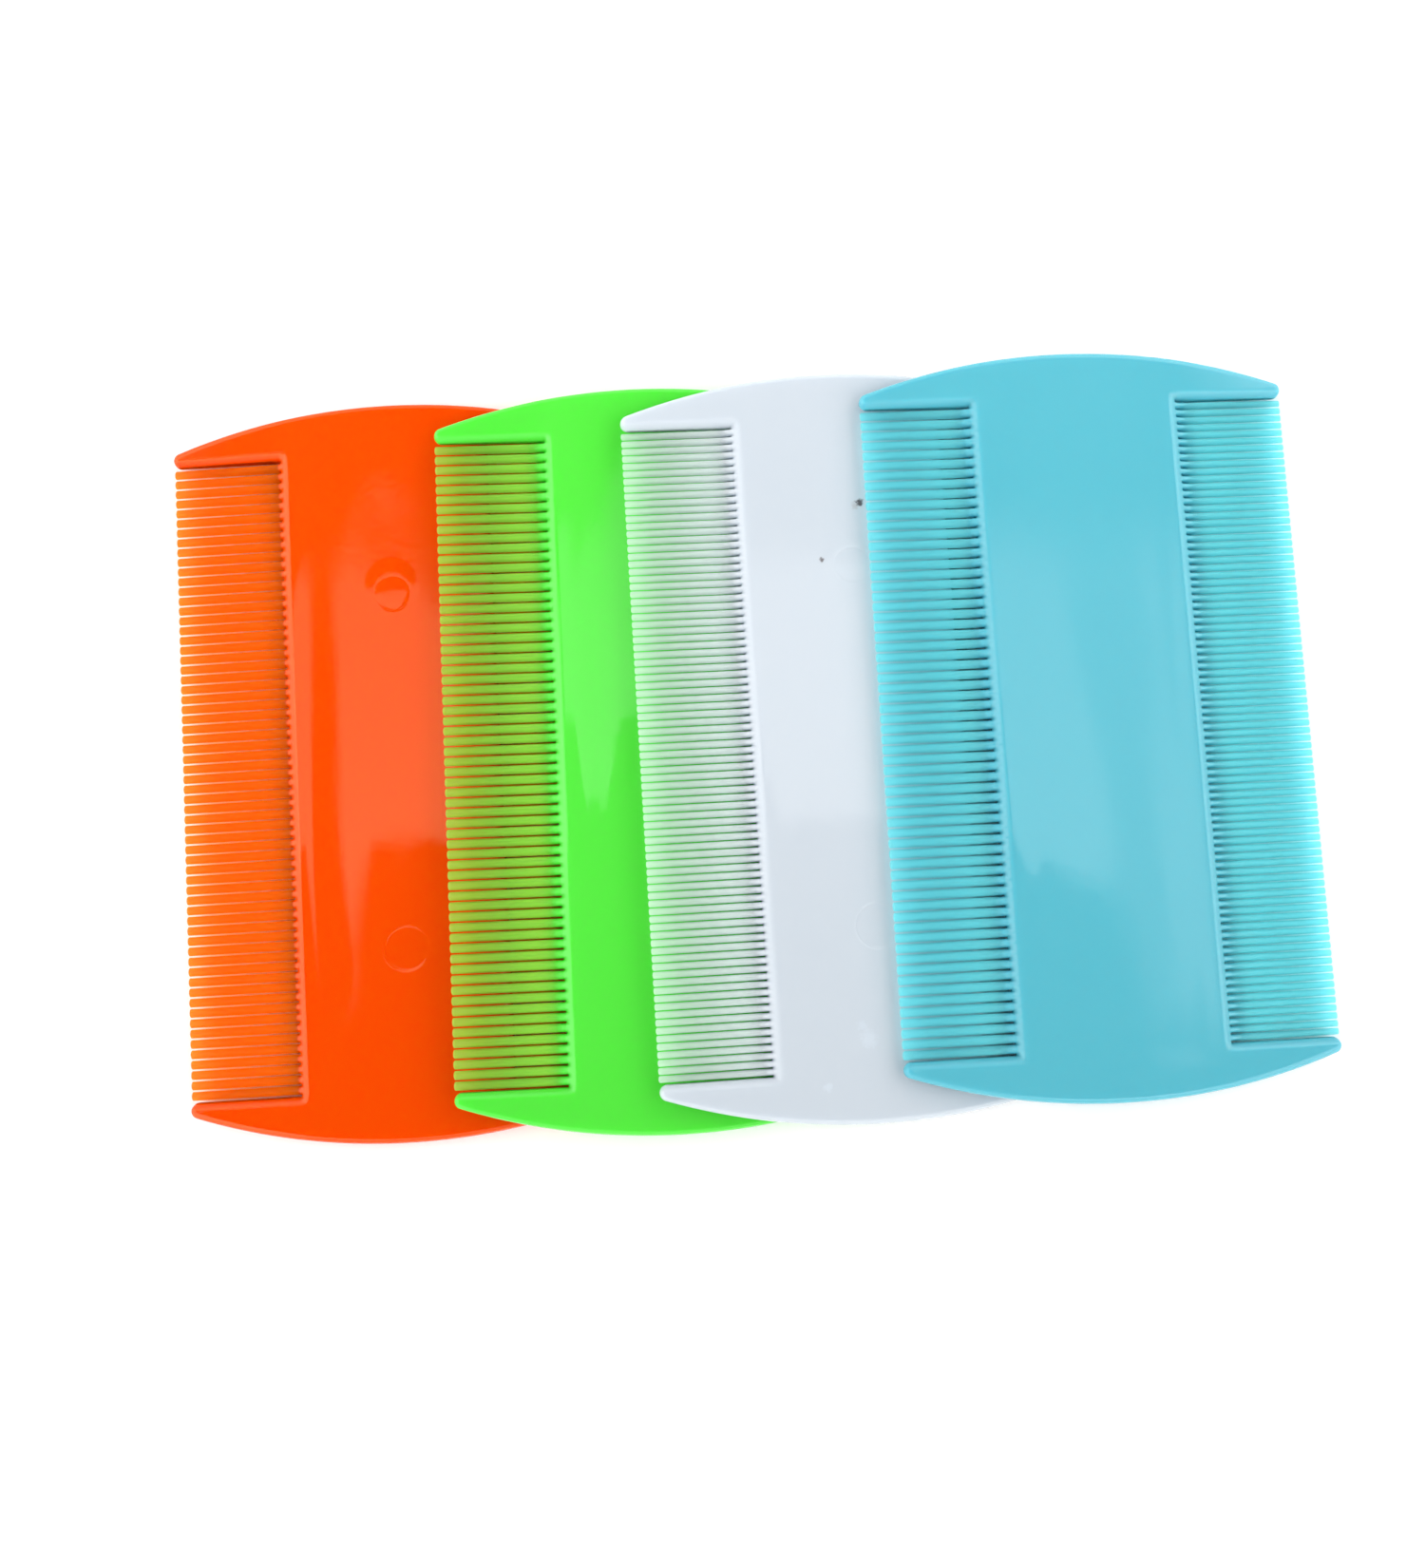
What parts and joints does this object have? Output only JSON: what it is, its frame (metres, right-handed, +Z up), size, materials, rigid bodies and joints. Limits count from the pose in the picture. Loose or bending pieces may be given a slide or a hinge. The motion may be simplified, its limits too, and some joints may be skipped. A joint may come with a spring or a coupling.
{
  "type": "double-sided flea comb set",
  "caption": "Set of flat double-sided flea combs in four colours, laid as an overlapping fan, each with a coarse and a fine row of teeth along a plain plate.",
  "frame": {"origin": "centre of the bounding box in X and Y, at the height of the table that the set lies on", "axes": "+X along the fan from the orange comb to the teal one, +Y along the combs, +Z up from the table"},
  "size_m": [0.1336, 0.0888, 0.0077],
  "materials": {
    "orange_plastic": "glossy injection-moulded polystyrene, bright orange, slightly translucent",
    "green_plastic": "glossy injection-moulded polystyrene, bright lime green, slightly translucent",
    "white_plastic": "glossy injection-moulded polystyrene, cool white, slightly translucent",
    "teal_plastic": "glossy injection-moulded polystyrene, light teal, slightly translucent"
  },
  "bodies": {
    "orange": {"orange_comb": "orange_plastic"},
    "green": {"green_comb": "green_plastic"},
    "white": {"white_comb": "white_plastic"},
    "teal": {"teal_comb": "teal_plastic"}
  },
  "joints": [
    {"name": "lift_green", "type": "slide", "parent": "orange", "child": "green", "axis": [0, 0, 1], "range_m": [0, 0.05]},
    {"name": "lift_white", "type": "slide", "parent": "green", "child": "white", "axis": [0, 0, 1], "range_m": [0, 0.05]},
    {"name": "lift_teal", "type": "slide", "parent": "white", "child": "teal", "axis": [0, 0, 1], "range_m": [0, 0.05]}
  ]
}
